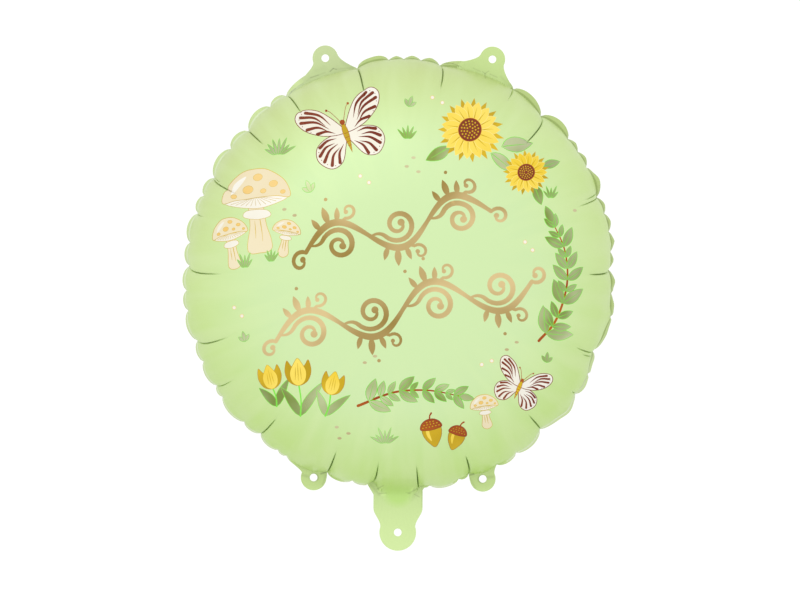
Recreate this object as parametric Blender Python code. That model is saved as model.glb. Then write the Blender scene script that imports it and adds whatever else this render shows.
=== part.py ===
"""A filled round foil balloon, lying on its back with its printed face up.

Two round sheets of film are heat-sealed to each other round their edge. Filled, they take
the shape of a round cushion whose edge has puckered into scallops, with creases running
in from it. Each sheet is one closed solid here: the space behind it is sealed, so it is
filled in down to the plane of the seal. The origin is the middle of the flat spot that
the balloon lies on, +Z goes through it from back to front and +Y is the printed top.
"""
import bisect
import math

import bmesh
import bpy
from mathutils import Vector
from mathutils.geometry import delaunay_2d_cdt

# The cushion
FLAT_RADIUS = 0.225         # sealed circle before filling: a 45 cm balloon
THICKNESS = 0.200           # filled, from the flat spot to the top of the front
REST_RADIUS = 0.040         # flat spot that the balloon lies on
FILM_TO_BODY = 1.3110288    # film from seal to middle, over the filled radius
BODY_RADIUS = FLAT_RADIUS / FILM_TO_BODY
NEARBY = 0.0002             # step for directions along the film

# The sealed edge
SHEET = 0.0004              # each sheet where the two lie flat on each other
GAP = 0.0003                # between the two sheets
SEAM_MARGIN = 0.0008        # least width of the sealed edge, at the notches
EDGE_WIDTH = 0.005          # sealed edge outside the seam, measured on the film
LEAN_LEAST = 50             # the edge's lean out of the plane, degrees
LEAN_MOST = 85
LEAN_MOST_AT = 230          # where round the balloon it leans most
EDGE_SHARE = 0.11           # a narrow scallop's edge stands out by this share of its width

# Scallops and creases
SCALLOP_RISE = 0.12         # bulge of the seam between two notches, share of their distance
SCALLOP_RISE_MOST = 0.0030
LOBE_RISE = 0.06            # bulge of the small notches between two creases
SCALLOP_LENGTH = 0.032      # how far in the small scallops fade, along the film
GROOVE_DEPTH = 0.0035
GROOVE_HALF_WIDTH = 0.0026

# One row per crease, anticlockwise from +X: angle in degrees, how far its notch stands off
# the body radius, its length along the film, the angle that it turns through on the way in,
# and the small notches before the next crease
CREASES = (
    (1.3, -0.0037, 0.054, -0.8, (6.0, 11.5, 16.5)),
    (21.3, -0.0014, 0.062, -0.8, (29.8, 34.5, 38.8)),
    (48.3, -0.0010, 0.073, -2.4, ()),
    (58.5, 0.0033, 0.045, -0.4, ()),
    (79.2, -0.0004, 0.065, -1.6, (84.4, 89.0, 93.0)),
    (101.8, -0.0024, 0.075, -0.6, ()),
    (122.6, -0.0012, 0.067, -1.0, (127.8,)),
    (136.6, -0.0038, 0.065, 0.1, (143.5,)),
    (152.6, -0.0030, 0.073, 1.5, (158.2,)),
    (163.3, -0.0014, 0.042, 0.6, (171.5,)),
    (177.8, -0.0018, 0.077, 2.4, (184.4, 189.8)),
    (198.2, 0.0002, 0.071, 2.1, (204.0,)),
    (211.3, 0.0015, 0.054, 1.2, (214.7, 223.5)),
    (228.8, -0.0009, 0.062, 0.7, (235.2, 238.0)),
    (249.8, -0.0014, 0.064, 0.5, (257.0,)),
    (262.3, -0.0018, 0.064, 1.2, ()),
    (274.9, -0.0006, 0.060, 0.0, (278.0, 286.0)),
    (289.0, -0.0012, 0.057, 0.8, (296.9, 303.0)),
    (312.0, -0.0032, 0.061, 0.3, ()),
    (325.6, -0.0004, 0.030, 0.0, (332.0,)),
    (338.4, -0.0048, 0.062, -1.2, (348.5, 354.8)),
)

# Four tabs, each a disc with a hole: its angle, how far the hole's centre stands out from
# the body radius, and how far the edge beside it leans, in degrees
TABS = ((66.7, 0.0168, 5), (109.1, 0.0125, 5), (247.0, 0.0067, 84), (292.0, 0.0066, 74))
TAB_RADIUS = 0.0103
HOLE_RADIUS = 0.0031
FLARE = 0.009               # a tab widens by this on each side where it meets the edge
FLARE_BEND = 0.4            # how low the flare's bend sits, share of the way to the edge

# The tail, with the tongue of the cushion that runs into its neck
TAIL_ANGLE = 269.5
TAIL_REACH = 0.0368         # its hole's centre, out from the body radius
TAIL_RADIUS = 0.0148
NECK_HALF_WIDTH = 0.0198
NECK_LENGTH = 0.0170        # straight part, out from the body radius
NECK_ROOT = 0.0025          # where its right side leaves the edge, out from the body radius
SHOULDER_HALF_WIDTH = 0.0251    # the left side starts wider, and slants in
SHOULDER_ROOT = -0.0023
SHOULDER_END = 0.0064
WAIST_TURN = 108            # degrees from the tail's tip, round its disc, to the waist
TONGUE_REACH = 0.0155
TONGUE_HALF_WIDTH = 0.0185
TONGUE_ROOT = 0.045         # how far in the tongue fades, along the film
TONGUE_FLATTENING = 0.5

# The facets
RIM_RINGS = (SHEET, 0.005, 0.013, 0.024)    # distances in from the seam, along the film
CREASE_RINGS = (0.038, 0.054, 0.075)
CROWN_RINGS = (0.100, 0.130, 0.160)
COLUMN_STEP = 2.3           # degrees, near the edge
LOBE_STEP = 6.0             # degrees, along the creases
CROWN_COLUMNS = 42
TONGUE_STEP = 1.2
ARC_STEP = 15               # degrees round the discs and flares
HOLE_SIDES = 16
WAIST_STEPS = 5
CROWDED = 0.7               # least step between two columns, share of a groove's half width
SAME_POINT = 1e-6


def lerp(a, b, share):
    return a + (b - a) * share


def arch(share):
    """A round bulge between two notches: 0 at both and 1 halfway."""
    return max(0.0, 4 * share * (1 - share)) ** 0.7


def fade(distance, length):
    return max(0.0, 1 - distance / length) ** 2


def polar(angle, radius):
    turn = math.radians(angle)
    return Vector((radius * math.cos(turn), radius * math.sin(turn)))


def film_section(steps=1500):
    """Half section of a filled foil disc: rows of film distance from the seal, radius, height."""
    rows = [(0.0, BODY_RADIUS, 0.0)]
    step = math.pi / 2 / steps
    for k in range(steps):
        turn = (k + 0.5) * step
        root = math.sqrt(1 + math.cos(turn) ** 2)
        along, radius, height = rows[-1]
        rows.append((along + BODY_RADIUS * step / root,
                     BODY_RADIUS * math.cos((k + 1) * step),
                     height + BODY_RADIUS * step * math.cos(turn) ** 2 / root))
    return rows


SECTION = film_section()
DISTANCES = [row[0] for row in SECTION]


def on_section(along):
    """Radius and height at a distance along the film, before the height is fitted."""
    k = min(max(bisect.bisect(DISTANCES, along), 1), len(SECTION) - 1)
    low, high = SECTION[k - 1], SECTION[k]
    share = (along - low[0]) / (high[0] - low[0])
    return lerp(low[1], high[1], share), lerp(low[2], high[2], share)


REST_ALONG = next(row[0] for row in SECTION if row[1] <= REST_RADIUS)
MIDDLE = THICKNESS / 2
FULLNESS = (MIDDLE - GAP / 2) / on_section(REST_ALONG)[1]


def find_lobe(angle):
    """The crease before an angle, the crease after it, and the angle brought between them."""
    first = CREASES[0][0]
    angle = first + (angle - first) % 360
    index = max(k for k, crease in enumerate(CREASES) if crease[0] <= angle)
    before = CREASES[index]
    after = CREASES[(index + 1) % len(CREASES)]
    if after[0] < before[0]:
        after = (after[0] + 360,) + after[1:]
    return before, after, angle


def arc_length(degrees):
    return math.radians(degrees) * BODY_RADIUS


def find_scallop(before, after, angle):
    notches = [before[0], *before[-1], after[0]]
    index = max(k for k, notch in enumerate(notches[:-1]) if notch <= angle)
    return notches[index], notches[index + 1], len(notches) - 1


def tab_between(low, high):
    return next((tab for tab in TABS if low < tab[0] < high), None)


def outline_offsets(angle):
    """Off the body radius: the lobe between creases, the scallop on it, and the edge outside."""
    before, after, angle = find_lobe(angle)
    low, high, scallops = find_scallop(before, after, angle)
    across = (angle - before[0]) / (after[0] - before[0])
    lobe_rise = LOBE_RISE * arc_length(after[0] - before[0]) * (1 - 1 / scallops)
    lobe = lerp(before[1], after[1], across) + lobe_rise * arch(across)
    width = arc_length(high - low)
    bulge = arch((angle - low) / (high - low))
    scallop = min(SCALLOP_RISE * width, SCALLOP_RISE_MOST) * bulge
    lean_share = (1 + math.cos(math.radians(angle - LEAN_MOST_AT))) / 2
    lean = lerp(LEAN_LEAST, LEAN_MOST, lean_share)
    tab = tab_between(low, high)
    if tab:
        lean = tab[2]
    edge = min(EDGE_WIDTH * math.cos(math.radians(lean)), EDGE_SHARE * width) * bulge
    return lobe, scallop, edge


def tongue(angle):
    """How far the cushion runs out into the neck of the tail at an angle."""
    across = BODY_RADIUS * math.sin(math.radians(angle - TAIL_ANGLE)) / TONGUE_HALF_WIDTH
    if math.cos(math.radians(angle - TAIL_ANGLE)) < 0 or abs(across) >= 1:
        return 0.0
    return TONGUE_REACH * (1 - across ** 2)


def groove(angle, along):
    """Depth of the nearest crease's groove, deepest partway along the crease."""
    before, after, angle = find_lobe(angle)
    nearest = before if angle - before[0] < after[0] - angle else after
    distance = arc_length(abs(angle - nearest[0]))
    share = min(1.0, along / nearest[2])
    return GROOVE_DEPTH * max(0.0, 1 - distance / GROOVE_HALF_WIDTH) * math.sin(math.pi * share)


def section_normal(along):
    """Direction out of the film in the half section, level at the seal."""
    if along <= SHEET:
        return Vector((1, 0))
    ahead = on_section(along + NEARBY)
    behind = on_section(along - NEARBY)
    return Vector((ahead[1] - behind[1], behind[0] - ahead[0])).normalized()


def film_point(angle, along):
    """A point of the filled sheet, its height taken from the plane of the seal."""
    before, after, turned = find_lobe(angle)
    across = (turned - before[0]) / (after[0] - before[0])
    length = lerp(before[2], after[2], across)
    turn = lerp(before[3], after[3], across) * along / length * math.exp(1 - along / length)
    lobe, scallop, _ = outline_offsets(angle)
    offset = (lobe - SEAM_MARGIN) * fade(along, length) + scallop * fade(along, SCALLOP_LENGTH)
    offset -= groove(angle, along)
    reach = tongue(angle) * fade(along, TONGUE_ROOT)
    flattening = 1 - TONGUE_FLATTENING * reach / TONGUE_REACH
    radius, height = on_section(along)
    normal = section_normal(along)
    plan = polar(angle + turn, radius + normal.x * offset + reach)
    return Vector((*plan, (height + normal.y * offset) * FULLNESS * flattening))


def notch_angles():
    return [notch for crease in CREASES for notch in (crease[0], *crease[-1])]


def split(angles, step, step_near_tail):
    """The given angles with even steps between each two, finer at the tail's neck."""
    result = []
    for low, high in zip(angles, angles[1:] + [angles[0] + 360]):
        at_tail = low < TAIL_ANGLE < high
        count = max(2, round((high - low) / (step_near_tail if at_tail else step)))
        result += [lerp(low, high, k / count) for k in range(count)]
    return result


def groove_sides():
    side = math.degrees(GROOVE_HALF_WIDTH / BODY_RADIUS)
    return [crease[0] + turn for crease in CREASES for turn in (-side, side)]


def rim_angles():
    return ring_order(split(notch_angles(), COLUMN_STEP, TONGUE_STEP) + groove_sides())


def lobe_angles():
    return ring_order(split([crease[0] for crease in CREASES], LOBE_STEP, LOBE_STEP) + groove_sides())


def crown_angles():
    return [CREASES[0][0] + 360 * k / CROWN_COLUMNS for k in range(CROWN_COLUMNS)]


def ring_order(angles):
    """Once round from the first crease, leaving out an angle that would crowd its neighbour."""
    first = CREASES[0][0]
    least = math.degrees(GROOVE_HALF_WIDTH / BODY_RADIUS) * CROWDED
    creases = [crease[0] for crease in CREASES]
    ordered = sorted(first + (angle - first) % 360 for angle in angles)
    kept = [first]
    for angle in ordered[1:]:
        crowded = angle - kept[-1] < least or first + 360 - angle < least
        if not crowded:
            kept.append(angle)
        elif angle in creases:
            kept[-1] = angle
    return kept


def edge_point(angle):
    """A point of the sealed sheet's scalloped outer edge."""
    return polar(angle, BODY_RADIUS + sum(outline_offsets(angle)))


def bend(start, control, end, count=4):
    """Points inside a quadratic curve, both ends left out."""
    shares = [k / count for k in range(1, count)]
    return [start * (1 - t) ** 2 + control * 2 * t * (1 - t) + end * t ** 2 for t in shares]


def disc_arc(centre, radius, start, end):
    count = round((end - start) / ARC_STEP)
    return [centre + polar(lerp(start, end, k / count), radius) for k in range(count + 1)]


def scallop_edge(low, high):
    """The edge from one angle to another, its far end left out."""
    count = max(2, round((high - low) / COLUMN_STEP) + 1)
    return [edge_point(lerp(low, high, k / count)) for k in range(count)]


def tab_edge(low, high, tab):
    """The edge from notch to notch, out round the disc of a tab and back."""
    angle, reach, _ = tab
    out = polar(angle, 1)
    across = polar(angle + 90, 1)
    centre = out * (BODY_RADIUS + reach)
    spread = math.degrees((TAB_RADIUS + FLARE) / BODY_RADIUS)
    feet = [max(low, angle - spread), min(high, angle + spread)]
    corners = [edge_point(foot) for foot in feet]
    sides = [centre - across * TAB_RADIUS, centre + across * TAB_RADIUS]
    bends = [side - out * (BODY_RADIUS + reach - corner.length) * FLARE_BEND
             for side, corner in zip(sides, corners)]
    points = scallop_edge(low, feet[0]) if feet[0] > low else []
    points += [corners[0]] + bend(corners[0], bends[0], sides[0])
    points += disc_arc(centre, TAB_RADIUS, angle - 90, angle + 90)
    points += bend(sides[1], bends[1], corners[1])
    if feet[1] < high:
        points += scallop_edge(feet[1], high)
    return points


def tail_edge():
    """Down one side of the neck, in to the waist, round the disc and back up."""
    out = polar(TAIL_ANGLE, 1)
    across = polar(TAIL_ANGLE + 90, 1)
    waist_turn = math.radians(WAIST_TURN)
    waist_reach = TAIL_REACH + TAIL_RADIUS * math.cos(waist_turn)
    waist = TAIL_RADIUS * math.sin(waist_turn)
    curve = []
    for k in range(WAIST_STEPS):
        share = k / WAIST_STEPS
        ease = (1 - math.cos(math.pi * share)) / 2
        curve.append((lerp(NECK_LENGTH, waist_reach, share), lerp(NECK_HALF_WIDTH, waist, ease)))
    shoulder = [(SHOULDER_ROOT, SHOULDER_HALF_WIDTH), (SHOULDER_END, NECK_HALF_WIDTH)]
    profiles = ((-1, shoulder + curve), (1, [(NECK_ROOT, NECK_HALF_WIDTH)] + curve))
    sides = [[out * (BODY_RADIUS + reach) + across * side * half for reach, half in profile]
             for side, profile in profiles]
    centre = out * (BODY_RADIUS + TAIL_REACH)
    arc = disc_arc(centre, TAIL_RADIUS, TAIL_ANGLE - WAIST_TURN, TAIL_ANGLE + WAIST_TURN)
    return sides[0] + arc + sides[1][::-1]


def beside_tail(point):
    """Whether a point of the edge is taken in by the tail's neck."""
    aside = point.dot(polar(TAIL_ANGLE + 90, 1))
    return point.dot(polar(TAIL_ANGLE, 1)) > 0 and -SHOULDER_HALF_WIDTH < aside < NECK_HALF_WIDTH


def sheet_outline():
    """The sealed sheet's outer edge, once round: scallops, tabs and tail."""
    notches = notch_angles()
    points = []
    for low, high in zip(notches, notches[1:] + [notches[0] + 360]):
        tab = tab_between(low, high)
        if tab:
            points += tab_edge(low, high, tab)
        elif low < TAIL_ANGLE < high:
            points += tail_edge()
        else:
            points += [point for point in scallop_edge(low, high) if not beside_tail(point)]
    return points


def hole_outlines():
    centres = [polar(angle, BODY_RADIUS + reach) for angle, reach, _ in TABS]
    centres.append(polar(TAIL_ANGLE, BODY_RADIUS + TAIL_REACH))
    steps = [360 * (k + 0.5) / HOLE_SIDES for k in range(HOLE_SIDES)]
    return [[centre + polar(step, HOLE_RADIUS) for step in steps] for centre in centres]


def fill_between(mesh, outer, holes, height):
    """A flat face of triangles inside one loop of points and outside the others."""
    loops = [outer] + holes
    points = [point for loop in loops for point in loop]
    faces = []
    start = 0
    for loop in loops:
        faces.append(list(range(start, start + len(loop))))
        start += len(loop)
    flat, _, triangles, sources, _, owners = delaunay_2d_cdt(
        points, [], faces, 1, SAME_POINT / 10, True)
    corners = {}
    for triangle, owner in zip(triangles, owners):
        if list(owner) == [0]:
            for k in triangle:
                if k not in corners:
                    point = points[sources[k][0]]
                    corners[k] = mesh.verts.new((point.x, point.y, height))
            mesh.faces.new([corners[k] for k in triangle])


def wall(mesh, points, low, high):
    """An upright band of faces round a loop of points."""
    for start, end in zip(points, points[1:] + points[:1]):
        corners = ((start, low), (end, low), (end, high), (start, high))
        mesh.faces.new([mesh.verts.new((point.x, point.y, height)) for point, height in corners])


def add_ring(mesh, angles, along):
    ring = []
    for angle in angles:
        point = film_point(angle, along)
        if along <= SHEET:
            point.z = SHEET
        if along >= REST_ALONG:
            point.z = MIDDLE - GAP / 2
        ring.append((angle, mesh.verts.new(point)))
    return ring


def stitch(mesh, outer, inner):
    """Join two rings of (angle, corner) pairs with triangles, whatever their counts."""
    outer = outer + [(outer[0][0] + 360, outer[0][1])]
    inner = inner + [(inner[0][0] + 360, inner[0][1])]
    i = j = 0
    while i + 1 < len(outer) or j + 1 < len(inner):
        inner_done = j + 1 == len(inner)
        if inner_done or (i + 1 < len(outer) and outer[i + 1][0] <= inner[j + 1][0]):
            mesh.faces.new((outer[i][1], outer[i + 1][1], inner[j][1]))
            i += 1
        else:
            mesh.faces.new((outer[i][1], inner[j + 1][1], inner[j][1]))
            j += 1


def half_balloon():
    """The front half over the plane of the seal: filled sheet, sealed edge, tabs and tail."""
    mesh = bmesh.new()
    rings = [add_ring(mesh, rim_angles(), along) for along in RIM_RINGS]
    rings += [add_ring(mesh, lobe_angles(), along) for along in CREASE_RINGS]
    rings += [add_ring(mesh, crown_angles(), along) for along in (*CROWN_RINGS, REST_ALONG)]
    for outer, inner in zip(rings, rings[1:]):
        stitch(mesh, outer, inner)
    mesh.faces.new([corner for _, corner in rings[-1]])
    seam = [corner.co.xy.copy() for _, corner in rings[0]]
    outline = sheet_outline()
    holes = hole_outlines()
    fill_between(mesh, outline, [seam] + holes, SHEET)
    fill_between(mesh, outline, holes, 0)
    for loop in (outline, *holes):
        wall(mesh, loop, 0, SHEET)
    bmesh.ops.remove_doubles(mesh, verts=mesh.verts, dist=SAME_POINT)
    return mesh


def foil(name, colour, roughness):
    material = bpy.data.materials.new(name)
    material.use_nodes = True
    shader = material.node_tree.nodes["Principled BSDF"]
    shader.inputs["Base Color"].default_value = (*colour, 1)
    shader.inputs["Metallic"].default_value = 0.4
    shader.inputs["Roughness"].default_value = roughness
    return material


def add_panel(name, side, material):
    """One sheet as a solid: side is +1 for the front and -1 for the back."""
    mesh = half_balloon()
    for corner in mesh.verts:
        corner.co.z = MIDDLE + side * (GAP / 2 + corner.co.z)
    bmesh.ops.recalc_face_normals(mesh, faces=mesh.faces)
    if mesh.calc_volume(signed=True) < 0:
        bmesh.ops.reverse_faces(mesh, faces=mesh.faces)
    data = bpy.data.meshes.new(name)
    mesh.to_mesh(data)
    mesh.free()
    data.shade_smooth()
    data.set_sharp_from_angle(angle=math.radians(40))
    data.materials.append(material)
    panel = bpy.data.objects.new(name, data)
    bpy.context.collection.objects.link(panel)
    return panel


def main():
    for item in list(bpy.data.objects):
        bpy.data.objects.remove(item)
    add_panel("front_panel", 1, foil("front_foil", (0.66, 0.86, 0.44), 0.35))
    add_panel("back_panel", -1, foil("back_foil", (0.60, 0.80, 0.40), 0.30))


main()
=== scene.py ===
"""The looks of a filled round foil balloon, lying on its back with its printed face up.

Each of the two film sheets is one closed mesh: the filled sheet with its lobes, scallops and
creases, and outside the seam the sealed edge with the tabs and the tail. The film's shape is
worked out from the same dimensions as the solids. The print is cut into the front sheet's
mesh as areas of other inks, so that its edges are sharp and it lies in the film.
"""
import math

import bmesh
import bpy
import numpy as np
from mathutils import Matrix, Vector
from mathutils.geometry import delaunay_2d_cdt


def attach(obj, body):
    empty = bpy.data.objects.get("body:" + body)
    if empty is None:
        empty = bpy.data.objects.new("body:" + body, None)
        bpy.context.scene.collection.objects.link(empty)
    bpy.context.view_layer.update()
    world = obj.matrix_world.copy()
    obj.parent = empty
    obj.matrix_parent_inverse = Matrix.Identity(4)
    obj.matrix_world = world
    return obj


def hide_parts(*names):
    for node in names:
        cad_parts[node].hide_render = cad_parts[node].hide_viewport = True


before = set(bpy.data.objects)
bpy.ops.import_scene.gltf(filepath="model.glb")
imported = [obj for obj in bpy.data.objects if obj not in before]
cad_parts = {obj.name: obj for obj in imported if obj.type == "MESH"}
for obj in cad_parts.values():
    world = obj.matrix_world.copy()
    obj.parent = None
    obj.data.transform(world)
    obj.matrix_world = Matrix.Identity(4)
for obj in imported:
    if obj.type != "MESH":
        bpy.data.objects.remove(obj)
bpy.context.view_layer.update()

# The cushion, as in the solids
FLAT_RADIUS = 0.225
FILM_TO_BODY = 1.3110288    # film from seal to middle, over the filled radius
BODY_RADIUS = FLAT_RADIUS / FILM_TO_BODY
THICKNESS = 0.200
MIDDLE = THICKNESS / 2
REST_RADIUS = 0.040
GAP = 0.0003

# The sealed edge
SHEET_GAP = 0.00002         # half the space between the two sheets
SEAM_MARGIN = 0.0008
EDGE_WIDTH = 0.005
LEAN_LEAST = 50             # degrees out of the plane
LEAN_MOST = 85
LEAN_MOST_AT = 250          # degrees round the balloon
EDGE_SHARE = 0.11
SEAM_STRAIGHTER = 0.5       # where the edge lies flat, it takes this share of the scallops' bulge
POINTED_AT = 3              # where round the balloon the edge's scallops are pointed, degrees
POINTED_OVER = 17
POINTED_NARROW = 0.7        # pointedness of narrow scallops at the top and upper right
NARROW_WIDTHS = (0.016, 0.025)
NARROW_MIDDLE = 58
NARROW_OVER = 46
NARROW_SOFT = 6             # degrees over which it fades
# Where the seam or its edge stands further out or in than the scallops' widths give: angle,
# metres and spread in degrees
SEAM_BUMPS = ((348.5, 0.0032, 2.0), (321.0, 0.0020, 2.5), (332.0, 0.0014, 1.2),
              (335.0, -0.0015, 1.8), (355.0, 0.0012, 0.8))
EDGE_BUMPS = ((97.8, -0.0013, 2.6), (342.5, -0.0006, 2.5), (28.0, -0.0017, 1.8))
FLAT_BESIDE_TAB = 2.5       # degrees beside a tab over which the edge starts to lean
SEAL_SHARE = 0.36           # inner share of the edge that carries the seal's painted highlight and shade

# Scallops and creases
SCALLOP_RISE = 0.12
SCALLOP_RISE_MOST = 0.0030
LOBE_RISE = 0.06
SCALLOP_LENGTH = 0.032

# One row per crease, anticlockwise from +X: angle in degrees, how far its notch stands off
# the body radius, its length along the film, the angle that it turns through on the way in,
# and the small notches before the next crease
CREASES = (
    (1.3, -0.0037, 0.064, -1.6, (6.0, 11.5, 16.5)),
    (21.3, -0.0014, 0.062, -0.8, (29.8, 34.5, 38.8)),
    (48.3, -0.0010, 0.073, -2.4, ()),
    (58.5, 0.0033, 0.045, -0.4, ()),
    (79.2, -0.0004, 0.065, -1.6, (84.4, 89.0, 93.0)),
    (101.8, -0.0024, 0.075, -0.6, ()),
    (122.6, -0.0012, 0.067, -1.0, (127.8,)),
    (136.6, -0.0038, 0.065, 0.1, (143.5,)),
    (152.6, -0.0030, 0.073, 1.5, (158.2,)),
    (163.3, -0.0014, 0.042, 0.6, (171.5,)),
    (177.8, -0.0018, 0.077, 2.4, (184.4, 189.8)),
    (198.2, 0.0002, 0.071, 2.1, (204.0,)),
    (211.3, 0.0015, 0.054, 1.2, (214.7, 223.5)),
    (228.8, -0.0009, 0.062, 0.7, (235.2, 238.0)),
    (249.8, -0.0014, 0.064, 0.5, (257.0,)),
    (262.3, -0.0018, 0.064, 1.2, ()),
    (274.9, -0.0006, 0.060, 0.0, (278.0, 286.0)),
    (289.0, -0.0012, 0.057, 0.8, (296.9, 303.0)),
    (312.0, -0.0032, 0.061, 0.3, ()),
    (325.6, -0.0004, 0.030, 0.0, (332.0,)),
    (338.4, -0.0048, 0.062, -1.2, (348.5, 354.8)),
)

# The slit of each crease, in the same order: how deep it is, as a share of the usual depth,
# and where along the crease it is deepest
SLITS = (
    (1.2, 0.6), (0.6, 0.6), (1.1, 0.75), (0.45, 0.3), (0.9, 0.6), (1.2, 0.6), (1.0, 0.6),
    (1.0, 0.65), (0.9, 0.65), (0.4, 0.4), (0.9, 0.5), (0.9, 0.5), (0.45, 0.5), (0.9, 0.6),
    (1.4, 0.5), (1.4, 0.3), (1.4, 0.3), (1.4, 0.55), (1.0, 0.6), (0.6, 0.4), (0.75, 0.6),
)
# Short folds beside the creases, tabs and tail: angle, length along the film, depth share,
# and where it is deepest
FOLDS = (
    (22.5, 0.050, 0.5, 0.5), (337.2, 0.050, 0.55, 0.5), (151.9, 0.040, 0.35, 0.8),
    (66.8, 0.014, 0.22, 0.3), (73.7, 0.012, 0.18, 0.3), (108.2, 0.012, 0.2, 0.3),
    (113.0, 0.012, 0.2, 0.3), (120.4, 0.016, 0.25, 0.3), (247.2, 0.012, 0.18, 0.3),
    (264.9, 0.016, 0.35, 0.3), (266.3, 0.012, 0.25, 0.35), (272.6, 0.012, 0.25, 0.35),
    (273.8, 0.016, 0.3, 0.3), (291.8, 0.012, 0.18, 0.3),
)
SLIT_DEPTH = 0.0024
SLIT_START = 0.3            # depth of a slit at the seam, as a share of its deepest
SLIT_HALF_WIDTH = 0.0005
SHOULDER_DEPTH = 0.0016     # soft dip on both sides of a slit
SHOULDER_WIDTH = 0.0042
WIDE_SIDE = 1.5             # a dip's two sides, as shares of that width
NARROW_SIDE = 0.8
SHORT_CREASE = 0.04         # shorter ones have narrower dips
DIP_END = 1.25              # as a share of the crease's length
RIPPLE_DEPTH = 0.00009      # fine radial ripples near the seam
RIPPLE_START = 0.004
RIPPLE_LENGTH = 0.034
RIPPLE_WAVES = (61, 83, 97, 113, 139)

# Tabs and tail, the tabs as angle, the hole's distance off the body radius and the edge's lean
TABS = ((66.7, 0.0168, 5), (109.1, 0.0125, 5), (247.0, 0.0067, 84), (292.0, 0.0066, 74))
TAB_RADIUS = 0.0103
HOLE_RADIUS = 0.0031
FLARE = 0.009               # along the edge, from a tab's side to where its foot ends
FLARE_BEND = 0.4
TAIL_ANGLE = 269.5
TAIL_REACH = 0.0368
TAIL_RADIUS = 0.0148
NECK_HALF_WIDTH = 0.0198
NECK_LENGTH = 0.0170
NECK_ROOT = 0.0025
SHOULDER_HALF_WIDTH = 0.0251
SHOULDER_ROOT = -0.0023
SHOULDER_END = 0.0064
WAIST_TURN = 108
TONGUE_REACH = 0.0155
TONGUE_HALF_WIDTH = 0.0185
TONGUE_ROOT = 0.045
TONGUE_FLATTENING = 0.5
TONGUE_SOFT_END = 0.038     # film over which the tongue rises out of the flat neck

# The mesh
COLUMN_STEP = 0.5           # degrees
COLUMN_LEAST = 0.04         # between two columns
COLUMN_CLEAR = 0.2          # between an even column and one that is placed
SLIT_COLUMNS = (0.1, 0.25, 0.45, 0.8)       # degrees beside a slit
TONGUE_COLUMNS = (0, 0.05, 0.15, 0.3)       # degrees in from the tongue's sides
RIM_STEPS = (0.0008, 0.0026)        # between rings, first and last
FILM_STEPS = (0.0026, 0.0036)
PRINT_STARTS = 0.050        # film between the seam and the part that carries the print
CREASES_END = 0.083         # film between the seam and where no crease reaches
CROWN_STEP = 0.0042
PATCH_STEP = 0.0012         # between points of the flat tabs and tail
HOLE_SIDES = 48
NEARBY_POINTS = 1e-7
SHARP_ANGLE = 60            # degrees between faces from which an edge is sharp


def lerp(a, b, share):
    return a + (b - a) * share


def off(angles, angle):
    """Degrees from an angle, the short way round."""
    return (angles - angle + 180) % 360 - 180


def ease(share):
    share = np.clip(share, 0, 1)
    return share * share * (3 - 2 * share)


def arch(share):
    return np.maximum(0, 4 * share * (1 - share)) ** 0.7


def fade(distance, length):
    return np.maximum(0, 1 - distance / length) ** 2


def polar(angle, radius):
    turn = np.radians(angle)
    return np.stack([radius * np.cos(turn), radius * np.sin(turn)], axis=-1)


def film_section(steps=3000):
    """Film distance from the seal, radius, height and slope angle of a filled foil disc."""
    step = math.pi / 2 / steps
    middles = (np.arange(steps) + 0.5) * step
    turns = np.arange(steps + 1) * step
    root = np.sqrt(1 + np.cos(middles) ** 2)
    along = np.concatenate([[0], np.cumsum(BODY_RADIUS * step / root)])
    height = np.concatenate([[0], np.cumsum(BODY_RADIUS * step * np.cos(middles) ** 2 / root)])
    return along, BODY_RADIUS * np.cos(turns), height, turns


ALONG, RADIUS, HEIGHT, TURN = film_section()
REST_HEIGHT = np.interp(-REST_RADIUS, -RADIUS, HEIGHT)
FULLNESS = (MIDDLE - GAP / 2) / REST_HEIGHT

FIRST = CREASES[0][0]
ONCE_ROUND = (*CREASES, (FIRST + 360, *CREASES[0][1:]))
ANGLES, OFFSETS, LENGTHS, TURNS = np.array([crease[:4] for crease in ONCE_ROUND]).T
SCALLOPS = np.array([len(crease[4]) + 1 for crease in CREASES])
NOTCHES = np.array([notch for crease in CREASES for notch in (crease[0], *crease[4])]
                   + [FIRST + 360])
NOTCH_TABS = [next((tab for tab in TABS if low < tab[0] < high), None)
              for low, high in zip(NOTCHES, NOTCHES[1:])]
TAB_LEANS = np.array([tab[2] if tab else np.nan for tab in NOTCH_TABS])


def arc_length(degrees):
    return np.radians(degrees) * BODY_RADIUS


def find_between(shading_lines, angles):
    """For each angle, the index of the mark before it, and its share of the way to the next."""
    turned = FIRST + (angles - FIRST) % 360
    index = np.clip(np.searchsorted(shading_lines, turned, "right") - 1, 0, len(shading_lines) - 2)
    return index, (turned - shading_lines[index]) / (shading_lines[index + 1] - shading_lines[index])


def bumps(angles, rows):
    return sum(rise * np.exp(-(off(angles, at) / spread) ** 2) for at, rise, spread in rows)


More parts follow.
